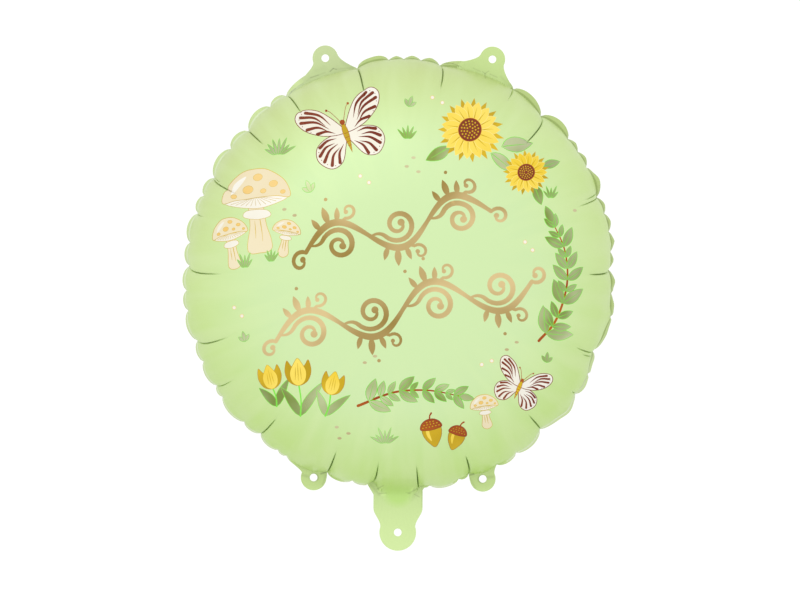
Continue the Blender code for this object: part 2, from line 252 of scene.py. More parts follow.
def outline_offsets(angles):
    """Off the body radius: the lobe between creases, the scallop on it, and the edge outside."""
    lobe_index, across = find_between(ANGLES, angles)
    notch_index, share = find_between(NOTCHES, angles)
    lobe_width = arc_length(ANGLES[lobe_index + 1] - ANGLES[lobe_index])
    lobe_rise = LOBE_RISE * lobe_width * (1 - 1 / SCALLOPS[lobe_index])
    lobe = lerp(OFFSETS[lobe_index], OFFSETS[lobe_index + 1], across) + lobe_rise * arch(across)
    width = arc_length(NOTCHES[notch_index + 1] - NOTCHES[notch_index])
    bulge = arch(share)
    scallop = np.minimum(SCALLOP_RISE * width, SCALLOP_RISE_MOST)
    lean_share = (1 + np.cos(np.radians(angles - LEAN_MOST_AT))) / 2
    tab_lean = TAB_LEANS[notch_index]
    lean = np.where(np.isnan(tab_lean), lerp(LEAN_LEAST, LEAN_MOST, lean_share), tab_lean)
    edge = np.minimum(EDGE_WIDTH * np.cos(np.radians(lean)), EDGE_SHARE * width)
    given = SEAM_STRAIGHTER * (1 - lean_share) * scallop
    turn = off(angles, POINTED_AT)
    pointed = np.exp(-(turn / POINTED_OVER) ** 2)
    narrow = 1 - ease((width - NARROW_WIDTHS[0]) / np.ptp(NARROW_WIDTHS))
    upper = ease((NARROW_OVER - np.abs(off(angles, NARROW_MIDDLE))) / NARROW_SOFT)
    pointed = np.maximum(pointed, POINTED_NARROW * narrow * upper)
    edge_bulge = lerp(bulge, 1 - np.abs(2 * share - 1), pointed)
    seam = (scallop - given) * bulge + bumps(angles, SEAM_BUMPS)
    return lobe, seam, (edge + given) * edge_bulge + bumps(angles, EDGE_BUMPS)


def tongue(angles):
    """How far the cushion runs out into the neck of the tail."""
    turn = np.radians(angles - TAIL_ANGLE)
    across = BODY_RADIUS * np.sin(turn) / TONGUE_HALF_WIDTH
    reach = TONGUE_REACH * np.maximum(0, 1 - across ** 2)
    return np.where(np.cos(turn) > 0, reach, 0)


def slit_rows():
    """Angle, length, depth share and deepest point of every slit, and its wider side."""
    rows = [(crease[0], crease[2], *slit) for crease, slit in zip(CREASES, SLITS)]
    return [(*row, 1 if k % 2 else -1) for k, row in enumerate((*rows, *FOLDS))]


def crease_depth(angles, along, radius):
    """How far the slits and their soft shoulders go into the film."""
    depth = np.zeros_like(angles)
    for angle, length, deep, deepest, wide_side in slit_rows():
        aside = np.radians(off(angles, angle)) * radius
        share = along / length
        coming = lerp(SLIT_START, 1, np.sin(math.pi / 2 * np.clip(share / deepest, 0, 1)))
        going = np.cos(math.pi / 2 * np.clip((share - deepest) / (1 - deepest), 0, 1)) ** 1.3
        envelope = deep * coming * going
        soft_end = deep * coming * ease(1 - (share - deepest) / (DIP_END - deepest))
        width = SHOULDER_WIDTH * np.where(aside * wide_side > 0, WIDE_SIDE, NARROW_SIDE)
        width = width * min(1, length / SHORT_CREASE)
        slit = np.maximum(0, 1 - np.abs(aside) / SLIT_HALF_WIDTH)
        depth += SLIT_DEPTH * envelope * slit
        depth += SHOULDER_DEPTH * soft_end * np.exp(-np.abs(aside) / width)
    return depth


def ripples(angles, along):
    random = np.random.default_rng(5)
    height = np.zeros_like(angles)
    for waves in RIPPLE_WAVES:
        start, swell = random.uniform(0, 360, 2)
        strength = 1 + np.sin(np.radians(angles * 7 + swell))
        height += strength * np.sin(np.radians(angles * waves + start))
    return RIPPLE_DEPTH * height * fade(along, RIPPLE_LENGTH) * ease(along / RIPPLE_START)


def film_points(angles, along):
    """Points of the filled sheet, their height taken from the plane of the seal."""
    lobe_index, across = find_between(ANGLES, angles)
    length = lerp(LENGTHS[lobe_index], LENGTHS[lobe_index + 1], across)
    turn = lerp(TURNS[lobe_index], TURNS[lobe_index + 1], across)
    turn = turn * along / length * np.exp(1 - along / length)
    radius = np.interp(along, ALONG, RADIUS)
    height = np.interp(along, ALONG, HEIGHT)
    slope = np.interp(along, ALONG, TURN)
    lobe, scallop, _ = outline_offsets(angles)
    offset = (lobe - SEAM_MARGIN) * fade(along, length) + scallop * fade(along, SCALLOP_LENGTH)
    offset = offset - crease_depth(angles, along, radius) + ripples(angles, along)
    reach = tongue(angles)
    share = reach / TONGUE_REACH
    flattening = 1 - TONGUE_FLATTENING * share * fade(along, TONGUE_ROOT)
    flattening = flattening * lerp(1, ease(along / TONGUE_SOFT_END), share)
    outward = np.cos(slope) ** 2
    upward = np.sin(slope) * np.sqrt(1 + np.cos(slope) ** 2)
    plan = polar(angles + turn, radius + outward * offset + reach * fade(along, TONGUE_ROOT))
    rise = (height + upward * offset) * FULLNESS * flattening
    return np.concatenate([plan, rise[:, None]], axis=1)


def film_columns():
    """The angles of the mesh's columns: evenly spaced, and closer at each slit and notch."""
    fixed = [notch % 360 for notch in NOTCHES[:-1]]
    for angle, *_ in slit_rows():
        fixed += [(angle + side * step) % 360 for step in (0, *SLIT_COLUMNS) for side in (-1, 1)]
    tongue_side = math.degrees(math.asin(TONGUE_HALF_WIDTH / BODY_RADIUS))
    for step in TONGUE_COLUMNS:
        fixed += [TAIL_ANGLE - tongue_side + step, TAIL_ANGLE + tongue_side - step]
    kept = []
    for angle in sorted(set(fixed), key=lambda angle: (angle not in NOTCHES, angle)):
        if all(abs(off(angle, other)) > COLUMN_LEAST for other in kept):
            kept.append(angle)
    fixed = np.array(kept)
    for angle in np.arange(0, 360, COLUMN_STEP):
        if np.min(np.abs(off(angle, fixed))) > COLUMN_CLEAR:
            kept.append(angle)
    return np.array(sorted(kept))


def growing(start, end, first_step, last_step):
    """Distances from start to end whose steps grow evenly."""
    steps = [0.0]
    while steps[-1] < end - start:
        steps.append(steps[-1] + lerp(first_step, last_step, steps[-1] / (end - start)))
    return start + np.array(steps) / steps[-1] * (end - start)


# The sealed edge outside the seam

def leaning(angles):
    """0 where the edge lies flat, at the tabs and the tail, and 1 where it leans freely."""
    share = np.ones_like(angles)
    spots = [(tab[0], math.degrees((TAB_RADIUS + FLARE) / BODY_RADIUS)) for tab in TABS]
    spots.append((TAIL_ANGLE, math.degrees(NECK_HALF_WIDTH / BODY_RADIUS) + 1))
    for angle, half in spots:
        share = share * ease((np.abs(off(angles, angle)) - half) / FLAT_BESIDE_TAB)
    return share


def edge_height(points):
    """Height of the sealed edge off the plane of the seal, and its slope outwards."""
    angles = np.degrees(np.arctan2(points[:, 1], points[:, 0]))
    lobe, scallop, edge = outline_offsets(angles)
    seam = BODY_RADIUS + lobe + scallop - SEAM_MARGIN + tongue(angles)
    reach = SEAM_MARGIN + edge
    share = np.clip((np.hypot(points[:, 0], points[:, 1]) - seam) / reach, 0, 1)
    drop = np.sqrt(EDGE_WIDTH ** 2 - np.minimum(reach, 0.9 * EDGE_WIDTH) ** 2) * leaning(angles)
    return -drop * share, -drop / reach, angles, share


def edge_point(angle):
    return polar(angle, BODY_RADIUS + sum(outline_offsets(np.float64(angle))))


def bend(start, control, end, count=9):
    shares = [k / count for k in range(1, count)]
    return [start * (1 - t) ** 2 + control * 2 * t * (1 - t) + end * t ** 2 for t in shares]


def disc_arc(centre, radius, start, end, step=6):
    count = round((end - start) / step)
    return [centre + polar(lerp(start, end, k / count), radius) for k in range(count + 1)]


def scallop_edge(low, high, step=0.7):
    count = max(4, round((high - low) / step))
    return [edge_point(lerp(low, high, k / count)) for k in range(count)]


def tab_edge(low, high, tab):
    """The edge from notch to notch, out round the disc of a tab and back."""
    angle, reach, _ = tab
    out = polar(angle, 1)
    across = polar(angle + 90, 1)
    centre = out * (BODY_RADIUS + reach)
    spread = math.degrees((TAB_RADIUS + FLARE) / BODY_RADIUS)
    feet = [max(low, angle - spread), min(high, angle + spread)]
    corners = [edge_point(foot) for foot in feet]
    sides = [centre - across * TAB_RADIUS, centre + across * TAB_RADIUS]
    bends = [side - out * (BODY_RADIUS + reach - np.hypot(*corner)) * FLARE_BEND
             for side, corner in zip(sides, corners)]
    points = scallop_edge(low, feet[0]) if feet[0] > low else []
    points += [corners[0]] + bend(corners[0], bends[0], sides[0])
    points += disc_arc(centre, TAB_RADIUS, angle - 90, angle + 90)
    points += bend(sides[1], bends[1], corners[1])
    if feet[1] < high:
        points += scallop_edge(feet[1], high)
    return points


def tail_edge(steps=12):
    """Down one side of the neck, in to the waist, round the disc and back up."""
    out = polar(TAIL_ANGLE, 1)
    across = polar(TAIL_ANGLE + 90, 1)
    waist_turn = math.radians(WAIST_TURN)
    waist_reach = TAIL_REACH + TAIL_RADIUS * math.cos(waist_turn)
    waist = TAIL_RADIUS * math.sin(waist_turn)
    curve = []
    for k in range(steps):
        share = (1 - math.cos(math.pi * k / steps)) / 2
        reach = lerp(NECK_LENGTH, waist_reach, k / steps)
        curve.append((reach, lerp(NECK_HALF_WIDTH, waist, share)))
    shoulder = [(lerp(SHOULDER_ROOT, SHOULDER_END, k / 4),
                 lerp(SHOULDER_HALF_WIDTH, NECK_HALF_WIDTH, k / 4)) for k in range(5)]
    straight = [(lerp(NECK_ROOT, NECK_LENGTH, k / 4), NECK_HALF_WIDTH) for k in range(4)]
    sides = [[out * (BODY_RADIUS + reach) + across * side * half for reach, half in profile]
             for side, profile in ((-1, shoulder + curve), (1, straight + curve))]
    centre = out * (BODY_RADIUS + TAIL_REACH)
    arc = disc_arc(centre, TAIL_RADIUS, TAIL_ANGLE - WAIST_TURN, TAIL_ANGLE + WAIST_TURN)
    return sides[0] + arc + sides[1][::-1]


def beside_tail(point):
    aside = point @ polar(TAIL_ANGLE + 90, 1)
    return point @ polar(TAIL_ANGLE, 1) > 0 and -SHOULDER_HALF_WIDTH < aside < NECK_HALF_WIDTH


def sheet_outline():
    """The sealed sheet's outer edge, once round: scallops, tabs and tail."""
    points = []
    for low, high, tab in zip(NOTCHES, NOTCHES[1:], NOTCH_TABS):
        if tab:
            points += tab_edge(low, high, tab)
        elif low < TAIL_ANGLE < high:
            points += tail_edge()
        else:
            points += [point for point in scallop_edge(low, high) if not beside_tail(point)]
    return np.array(points)


def holes():
    """The middles of the four tabs' holes and of the tail's."""
    middles = [polar(angle, BODY_RADIUS + reach) for angle, reach, _ in TABS]
    return middles + [polar(TAIL_ANGLE, BODY_RADIUS + TAIL_REACH)]


def flat_patch_points():
    """A triangular grid over the tabs and the tail, kept clear of the holes."""
    points = []
    spots = [(middle, TAB_RADIUS * 2.2) for middle in holes()[:-1]]
    spots.append((polar(TAIL_ANGLE, BODY_RADIUS + TAIL_REACH / 2), TAIL_REACH * 1.2))
    for middle, half in spots:
        rows = np.arange(-half, half, PATCH_STEP * 0.87)
        for k, y in enumerate(rows):
            xs = np.arange(-half, half, PATCH_STEP) + PATCH_STEP / 2 * (k % 2)
            points.append(middle + np.stack([xs, np.full_like(xs, y)], axis=1))
    points = np.concatenate(points)
    for middle in holes():
        away = np.hypot(*(points - middle).T)
        points = points[away > HOLE_RADIUS + PATCH_STEP / 2]
    return points


def triangulate(points, loops, areas=True):
    """Triangles cut along the loops; with areas, only those inside, each with its loops."""
    ends = np.cumsum([len(loop) for loop in loops])
    rings = [list(range(end - len(loop), end)) for end, loop in zip(ends, loops)]
    lines = [edge for ring in rings for edge in zip(ring, ring[1:] + ring[:1])]
    flat, _, triangles, sources, _, owners = delaunay_2d_cdt(
        [Vector(point) for point in np.concatenate([*loops, points])],
        [] if areas else lines, rings if areas else [], int(areas), NEARBY_POINTS, areas)
    return np.array([tuple(point) for point in flat]), np.array(triangles), sources, owners


def inside(points, outline):
    """Which points an outline goes round."""
    around = np.zeros(len(points), int)
    x, y = points.T
    for (ax, ay), (bx, by) in zip(outline, np.roll(outline, -1, axis=0)):
        left = (bx - ax) * (y - ay) - (x - ax) * (by - ay)
        around += ((ay <= y) & (by > y) & (left > 0)).astype(int)
        around -= ((ay > y) & (by <= y) & (left < 0)).astype(int)
    return around != 0


def ink_of_triangles(middles, print_areas):
    """The ink on top at each point."""
    inks = np.zeros(len(middles), int)
    for ink, area in print_areas:
        low, high = area.min(axis=0), area.max(axis=0)
        near = np.flatnonzero(np.all((middles > low) & (middles < high), axis=1))
        inks[near[inside(middles[near], area)]] = ink
    return inks


def edge_rows(columns):
    """Points between the seam and the free edge of the scallops, two at each column."""
    lobe, scallop, edge = outline_offsets(columns)
    free = leaning(columns) > 0.02
    rows = []
    for share in (0.33, 0.67):
        radius = BODY_RADIUS + lobe + scallop + lerp(-SEAM_MARGIN, edge, share)
        rows.append(polar(columns[free], radius[free]))
    return np.concatenate(rows)


def film_areas(areas):
    """The print's areas carried over from millimetres in plan onto the flat film."""
    laid = []
    for ink, shape in areas:
        radius = np.hypot(*shape.T) / 1000
        along = np.interp(-radius, -RADIUS, ALONG)
        scale = (FLAT_RADIUS - along) / np.maximum(radius, NEARBY_POINTS)
        laid.append((ink, shape / 1000 * scale[:, None]))
    furthest = max(np.hypot(*shape.T).max() for _, shape in laid)
    if furthest > FLAT_RADIUS - PRINT_STARTS:
        raise ValueError(f"the print reaches {furthest * 1000:.1f} mm on the flat film")
    return laid


def sheet_mesh(name, side, print_areas, materials):
    """One film sheet as a closed mesh: side is +1 for the front and -1 for the back."""
    seal_ink, edge_ink, tab_ink = (len(materials) - k for k in (3, 2, 1))
    columns = film_columns()
    count = len(columns)
    vertices = []
    faces = []

    def add_film(angles, along):
        points = film_points(angles, along)
        points[:, 2] = np.maximum(MIDDLE + side * (GAP / 2 + points[:, 2]), 0)
        vertices.extend(points.tolist())

    def corner(index, points, k):
        """The vertex at a point of the sealed edge, made when it is first asked for."""
        if k not in index:
            index[k] = len(vertices)
            vertices.append(points[k].tolist())
        return index[k]

    # The rim, ring by ring from the seam inwards
    rings = growing(0, PRINT_STARTS, *RIM_STEPS)
    for along in rings:
        add_film(columns, np.full_like(columns, along))
    for low in range(0, (len(rings) - 1) * count, count):
        for k in range(count):
            after = (k + 1) % count
            faces.append((low + k, low + after, low + count + after, low + count + k))
    inks = [0] * len(faces)

    # The rest of the filled sheet, cut along the print
    grid = [polar(columns, FLAT_RADIUS - along)
            for along in growing(PRINT_STARTS, CREASES_END, *FILM_STEPS)[1:]]
    for along in np.arange(CREASES_END + CROWN_STEP, FLAT_RADIUS - CROWN_STEP / 2, CROWN_STEP):
        around = max(6, round(2 * math.pi * (FLAT_RADIUS - along) / CROWN_STEP))
        grid.append(polar(np.arange(around) * 360 / around, FLAT_RADIUS - along))
    grid.append(np.zeros((1, 2)))
    loops = [polar(columns, FLAT_RADIUS - rings[-1])] + [area for _, area in print_areas]
    flat, triangles, *_ = triangulate(np.concatenate(grid), loops, False)
    angles = np.degrees(np.arctan2(flat[:, 1], flat[:, 0]))
    away = np.hypot(*flat.T)
    index = len(vertices) + np.arange(len(flat))
    add_film(angles, np.clip(FLAT_RADIUS - away, 0, FLAT_RADIUS))
    on_rim = np.flatnonzero(away > FLAT_RADIUS - PRINT_STARTS - 1e-6)
    nearest = np.searchsorted(columns, angles[on_rim] % 360 - COLUMN_LEAST / 4) % count
    index[on_rim] = (len(rings) - 1) * count + nearest
    faces.extend(index[triangles].tolist())
    inks.extend(ink_of_triangles(flat[triangles].mean(axis=1), print_areas).tolist())

    # The sealed edge with its tabs and tail, and the underside that closes the sheet
    outline = sheet_outline()
    seam = np.array(vertices[:count])[:, :2]
    turns = np.arange(HOLE_SIDES) * 360 / HOLE_SIDES
    rounds = [middle + polar(turns, HOLE_RADIUS) for middle in holes()]
    inner = np.concatenate([edge_rows(columns), flat_patch_points()])
    flat, triangles, sources, owners = triangulate(inner, [outline, seam, *rounds])
    height, slope, angles, across_edge = edge_height(flat)
    flat_part = leaning(angles) < 0.5
    normal = np.concatenate([polar(angles, -slope), np.ones((len(flat), 1))], axis=1)
    normal /= np.linalg.norm(normal, axis=1)[:, None]
    middle = np.concatenate([flat, MIDDLE + height[:, None]], axis=1)
    outer = middle + normal * side * GAP / 2
    under = middle + normal * side * SHEET_GAP
    outer_index = {}
    under_index = {}
    for k, origin in enumerate(sources):
        on_seam = [source - len(outline) for source in origin
                   if 0 <= source - len(outline) < count]
        if on_seam:
            outer_index[k] = on_seam[0]
            under[k] = (*flat[k], MIDDLE + side * SHEET_GAP)
    uses = {}
    for triangle, owner in zip(triangles.tolist(), owners):
        if not owner or max(owner) > 1:
            continue
        faces.append([corner(under_index, under, k) for k in triangle][::-1])
        ink = tab_ink if flat_part[triangle[0]] else edge_ink
        if ink == edge_ink and np.mean(across_edge[triangle]) < SEAL_SHARE:
            ink = seal_ink
        inks.append(ink)
        for edge in zip(triangle, triangle[1:] + triangle[:1]):
            uses[frozenset(edge)] = None if frozenset(edge) in uses else edge
        if max(owner) == 0:
            faces.append([corner(outer_index, outer, k) for k in triangle])
            inks.append(ink)
    for a, b in filter(None, uses.values()):
        faces.append((outer_index[a], under_index[a], under_index[b], outer_index[b]))
        inks.append(tab_ink if flat_part[a] else edge_ink)

    data = bpy.data.meshes.new(name)
    data.from_pydata(vertices, [], faces)
    for material in materials:
        data.materials.append(material)
    data.polygons.foreach_set("material_index", inks)
    mesh = bmesh.new()
    mesh.from_mesh(data)
    loose = [vertex for vertex in mesh.verts if not vertex.link_faces]
    bmesh.ops.delete(mesh, geom=loose, context="VERTS")
    bmesh.ops.recalc_face_normals(mesh, faces=mesh.faces)
    if mesh.calc_volume(signed=True) < 0:
        bmesh.ops.reverse_faces(mesh, faces=mesh.faces)
    mesh.to_mesh(data)
    mesh.free()
    data.shade_smooth()
    data.set_sharp_from_angle(angle=math.radians(SHARP_ANGLE))
    sheet = bpy.data.objects.new(name, data)
    bpy.context.scene.collection.objects.link(sheet)
    return sheet


# The print, drawn in millimetres from the body's middle, with the later areas on top

INKS = ("film", "gold", "foliage", "leaf_edge", "yellow", "ochre", "cream", "peach",
        "white", "red_brown", "bark", "beige", "pale_yellow")


def along_line(points, per_span=8, closed=False):
    """A smooth line through the points."""
    points = np.array(points, float)
    before, after = 2 * points[:1] - points[1:2], 2 * points[-1:] - points[-2:-1]
    if closed:
        before, after = points[-1:], points[:2]
    points = np.concatenate([before, points, after])
    t = (np.arange(per_span) / per_span)[:, None]
    line = []
    for a, b, c, d in zip(points, points[1:], points[2:], points[3:]):
        line.append(b + (c - a) / 2 * t + (2 * a - 5 * b + 4 * c - d) / 2 * t ** 2
                    + (3 * b - a - 3 * c + d) / 2 * t ** 3)
    line = np.concatenate(line)
    return line if closed else np.concatenate([line, points[-2:-1]])


def loop(points, per_span=6):
    return along_line(points, per_span, True)


def mirrored(*points, closing=(), per_span=6):
    """A loop through points on one side of the axis, their mirror images, and closing ones."""
    return loop([*points, *((-x, y) for x, y in points[::-1] if x), *closing], per_span)


def ribbon(line, widths):
    """The outline of a stroke along a line, its widths spread evenly over it."""
    line = np.array(line, float)
    ahead = np.gradient(line, axis=0)
    ahead /= np.linalg.norm(ahead, axis=1)[:, None]
    share = np.linspace(0, 1, len(line))
    half = np.interp(share, np.linspace(0, 1, len(widths)), widths)[:, None] / 2
    aside = np.stack([-ahead[:, 1], ahead[:, 0]], axis=1) * half
    caps = []
    for k, start in ((-1, 90), (0, -90)):
        facing = math.degrees(math.atan2(ahead[k][1], ahead[k][0]))
        caps.append(line[k] + polar(facing + start - np.arange(30, 180, 30), half[k]))
    return np.concatenate([line + aside, caps[0], (line - aside)[::-1], caps[1]])


def oval(length, width, sides=24):
    return polar(np.arange(sides) * 360 / sides, 1) * (length / 2, width / 2)


def disc(size, sides=14):
    return oval(size, size, sides)


def leaf(length, width, curve=0.0, fullest=0.42, sides=9):
    """A pointed leaf from the origin along +X, bent to one side by a share of its length."""
    share = np.linspace(0, 1, sides)
    half = width / 2 * np.sin(math.pi * share ** (math.log(0.5) / math.log(fullest))) ** 0.9
    middle = curve * length * share ** 2
    upper, lower = (np.stack([share * length, edge], axis=1) for edge in (middle + half, middle - half))
    return np.concatenate([upper, lower[-2:0:-1]])


def place(shape, at=(0, 0), turn=0.0):
    return np.array(at) + shape[:, :1] * polar(turn, 1) + shape[:, 1:] * polar(turn + 90, 1)


def swollen(shape, width):
    """The same outline, wider all round."""
    ahead = np.roll(shape, -1, axis=0) - np.roll(shape, 1, axis=0)
    ahead /= np.linalg.norm(ahead, axis=1)[:, None] + 1e-9
    outward = np.stack([ahead[:, 1], -ahead[:, 0]], axis=1)
    x, y = shape.T
    turning = np.sum(x * np.roll(y, -1) - y * np.roll(x, -1))
    return shape + outward * width * np.sign(turning)


class Print:
    """Areas of ink in the order of printing. Widths are in millimetres whatever the size."""

    def __init__(self, areas, at=(0, 0), turn=0.0, size=1.0):
        self.areas = areas
        self.frame = at, turn, size

    def moved(self, at, turn=0.0, size=1.0):
        return Print(self.areas, at, turn, size)

    def laid(self, shape):
        at, turn, size = self.frame
        return place(np.array(shape, float) * size, at, turn)

    def fill(self, ink, outline):
        self.areas.append((INKS.index(ink), outline))

    def add(self, ink, shape):
        self.fill(ink, self.laid(shape))

    def edged(self, ink, edge_ink, shape, edge):
        self.fill(edge_ink, swollen(self.laid(shape), edge))
        self.add(ink, shape)

    def green(self, shape, edge):
        self.edged("foliage", "leaf_edge", shape, edge)

    def line(self, ink, points, widths):
        self.fill(ink, ribbon(self.laid(points), widths))

    def stroke(self, ink, points, widths, per_span=8):
        self.line(ink, along_line(points, per_span), widths)

    def dot(self, ink, at, size):
        self.fill(ink, place(disc(size), self.laid([at])[0]))


def spiral(middle, radius, start, turns, way, inner, points_per_turn=20):
    share = np.linspace(0, 1, round(turns * points_per_turn))
    turned = polar(start + way * 360 * turns * share, 1)
    return middle + turned * (radius * lerp(1, inner, share ** 0.9))[:, None]


def scroll_row(art, middle, length, turn, bays, rise):
    """A row of gold scrolls along a waving stem, in the place of a line of lettering."""
    art = art.moved(middle, turn)
    half = length / bays

    def stem(x):
        """The stem's middle, x bays along it."""
        x = np.array(x, float)
        return np.stack([x * half - length / 2, rise * np.sin(math.pi * x)], axis=-1)

    def coil(line, widths, knob, sides=14):
        art.line("gold", line, widths)
        art.add("gold", place(disc(knob, sides), line[-1]))

    xs = np.linspace(-0.04, bays + 0.04, bays * 20)
    art.line("gold", stem(xs), 3.2 + 2.2 * np.abs(np.sin(math.pi * xs)))
    for k in range(bays):
        side = (-1) ** k
        crest = stem(k + 0.5)
        centre = np.array([crest[0] + 0.02 * half, -side * 0.16 * rise])
        turns = spiral(centre, 0.285 * half, side * 152, 1.5, -side, 0.2, 26)
        root = stem(k + 0.04)
        ahead = turns[0] - turns[1]
        ahead *= np.hypot(*(root - turns[0])) * 0.55 / np.hypot(*ahead)
        coil([root, *bend(root, turns[0] + ahead, turns[0], 8), *turns],
             (1.6, 3.6, 4.2, 3.8, 3.0, 2.0), 5.6, 18)
        sprig = spiral(crest + (0.27 * half, side * rise * 0.42), 0.13 * half, side * -120,
                       0.9, side, 0.3)
        coil([stem(k + 0.62), *sprig], (2.6, 2.4, 2.0, 1.4), 3.4)
        for x, lean, long in ((0.30, 128, 12), (0.43, 100, 15), (0.55, 70, 12)):
            shape = leaf(long, long * 0.36, 0.14 * (96 - lean) / 32, 0.5) * (1, side)
            art.add("gold", place(shape, stem(k + x) - (0, side * 0.5), side * lean))
        art.add("gold", place(disc(2.8), crest + (-0.04 * half, side * 19)))
    for x, way in ((0, 1), (bays, -1)):
        foot = stem(x)
        rising = 1 if x == 0 or bays % 2 else -1
        tail = spiral(foot - (way * 7.5, rising * 7.5), 7.6, rising * (90 - way * 44),
                      0.95, way * rising, 0.3)
        coil([foot, *tail], (3.2, 3.0, 2.4, 1.6), 4.4, 16)


def sunflower(art, middle, radius, petals=15):
    art = art.moved(middle)
    step = 360 / petals
    for k in range(petals):
        shape = leaf(radius * 1.06, radius * 0.28, 0.0, 0.45)
        art.add("ochre", place(shape, turn=(k + 0.5) * step))
    for k in range(petals):
        shape = leaf(radius * 0.95, radius * 0.36, 0.03, 0.6)
        art.edged("yellow", "pale_yellow", place(shape, turn=k * step), 0.25)
        rib = polar(k * step, radius * 0.42), polar(k * step + 2, radius * 0.76)
        art.line("ochre", np.linspace(*rib, 4), (0.9, 0.15))
    art.edged("red_brown", "bark", disc(radius * 0.74, 32), 0.5)
    for row, count in ((0.28, 16), (0.19, 11), (0.10, 6)):
        for k in range(count):
            art.dot("ochre", polar((k + row * 5) * 360 / count, radius * row), radius * 0.055)


def leafy_branch(art, points, leaves, length, taper):
    """A stem with metallic leaves, each on a slightly bigger bright green one."""
    line = along_line(points, 12)
    art.line("bark", line, (2.2, 1.6, 0.8))
    facing = np.degrees(np.arctan2(*np.diff(line, axis=0).T[::-1]))
    rib = np.linspace(0.08, 0.8, 5)
    for k, spot in enumerate(np.linspace(0.12, 0.97, leaves)):
        index = int(spot * (len(line) - 1))
        size = length * (1 - taper * spot) * (0.75 + 0.25 * math.sin(k * 2.4 + 1))
        for side in (1, -1):
            turn = facing[index] + side * (58 - 16 * spot + 8 * math.sin(k * 1.7))
            spray = art.moved(line[index], turn, size)
            spray.green(leaf(1, 0.42, -0.12 * side, 0.45), 0.42)
            spray.line("leaf_edge", np.stack([rib, -0.12 * side * rib ** 2], axis=1),
                       (0.5, 0.35, 0.15))
    art.green(place(leaf(length * 0.6, length * 0.26), line[-1], facing[-1]), 0.42)


def mushroom(art, foot, height, cap, lean):
    """A cream mushroom with ochre lines: height and cap width in millimetres."""
    art = art.moved(foot, lean, (cap, height))
    low = 1 / height
    art.edged("cream", "ochre", loop([(-0.17, low), (-0.12, 0.3), (-0.09, 0.62), (0.09, 0.62),
                                      (0.12, 0.3), (0.18, low), (0, -1.5 * low)]), 0.35)
    art.stroke("ochre", [(0.05, 0.1), (0.04, 0.3), (0.03, 0.5)], (0.2, 0.6, 0.2))
    art.stroke("ochre", [(-0.05, 0.14), (-0.045, 0.36)], (0.2, 0.5, 0.2))
    art.edged("white", "ochre", mirrored((-0.14, 0.5), (-0.2, 0.42), (0, 0.38)), 0.3)
    under = mirrored((-0.46, 0.62), (0, 0.53), closing=[(0, 0.7)], per_span=8)
    art.edged("white", "ochre", under, 0.3)
    for k in range(-5, 6):
        gill = (k * 0.075, 0.565 + 0.0016 * k * k), (k * 0.02, 0.66)
        art.line("ochre", np.linspace(*gill, 4), (0.3, 0.2))
    dome = mirrored((-0.5, 0.63), (-0.43, 0.82), (-0.2, 0.97), (0, 1),
                    closing=[(0.3, 0.655), (0, 0.665), (-0.3, 0.655)])
    art.edged("cream", "ochre", dome, 0.4)
    art.add("white", loop([(-0.36, 0.74), (-0.3, 0.86), (-0.12, 0.93), (-0.2, 0.84)]))
    for x, y, size in ((0.05, 0.9, 0.13), (0.27, 0.8, 0.12), (-0.1, 0.77, 0.15),
                       (0.12, 0.73, 0.08), (-0.32, 0.71, 0.09), (0.4, 0.69, 0.07)):
        spot = place(oval(size, size * 0.72 * cap / height, 18), (x, y))
        art.edged("peach", "ochre", spot, 0.22)


UPPER_WING = ((0.03, 0.03), (0.16, 0.34), (0.48, 0.72), (0.86, 0.86), (1.02, 0.68),
              (0.88, 0.36), (0.50, 0.10))
LOWER_WING = ((0.03, -0.02), (0.42, 0.03), (0.74, -0.12), (0.80, -0.42), (0.58, -0.68),
              (0.30, -0.62), (0.12, -0.32))
FEELER = ((0.0, 0.2), (0.1, 0.42), (0.2, 0.6), (0.27, 0.66))
STRIPES = 5                 # on each wing


def butterfly(art, middle, size, turn):
    """White wings with red-brown stripes: size is half the span."""
    halves = [art.moved(middle, turn, (side * size, size)) for side in (1, -1)]
    for half in halves:
        for wing, first, last in ((LOWER_WING, -60, -10), (UPPER_WING, 17, 46)):
            half.edged("white", "red_brown", loop(wing), 0.55)
            edge = loop(wing, 12)
            bearing = np.degrees(np.arctan2(*edge.T[::-1]))
            far = np.hypot(*edge.T) > 0.3
            for k in range(2 * STRIPES - 1):
                angle = lerp(first, last, k / (2 * STRIPES - 2))
                tip = edge[np.argmin(np.where(far, np.abs(bearing - angle), 999))]
                if k % 2:
                    half.dot("red_brown", tip * 0.93, size * 0.022)
                    continue
                inner, outer = tip * (0.34 + 0.035 * (k % 4)), tip * 0.91
                bulge = np.array([-tip[1], tip[0]]) * 0.07
                half.stroke("red_brown", [inner, (inner + outer) / 2 + bulge, outer],
                            (0.2, size * 0.055, size * 0.078), 5)
    for half in halves:
        half.stroke("bark", FEELER, (0.5, 0.4, 0.5), 5)
        half.dot("bark", FEELER[-1], size * 0.06)
    art = art.moved(middle, turn, size)
    art.edged("ochre", "bark", place(leaf(0.78, 0.13, 0.0, 0.62) - (0.48, 0), turn=90), 0.3)
    for y in (-0.3, -0.2, -0.1, 0.0):
        art.stroke("bark", [(-0.04, y), (0.04, y)], (0.4, 0.4), 3)
    art.dot("bark", (0, 0.27), size * 0.13)


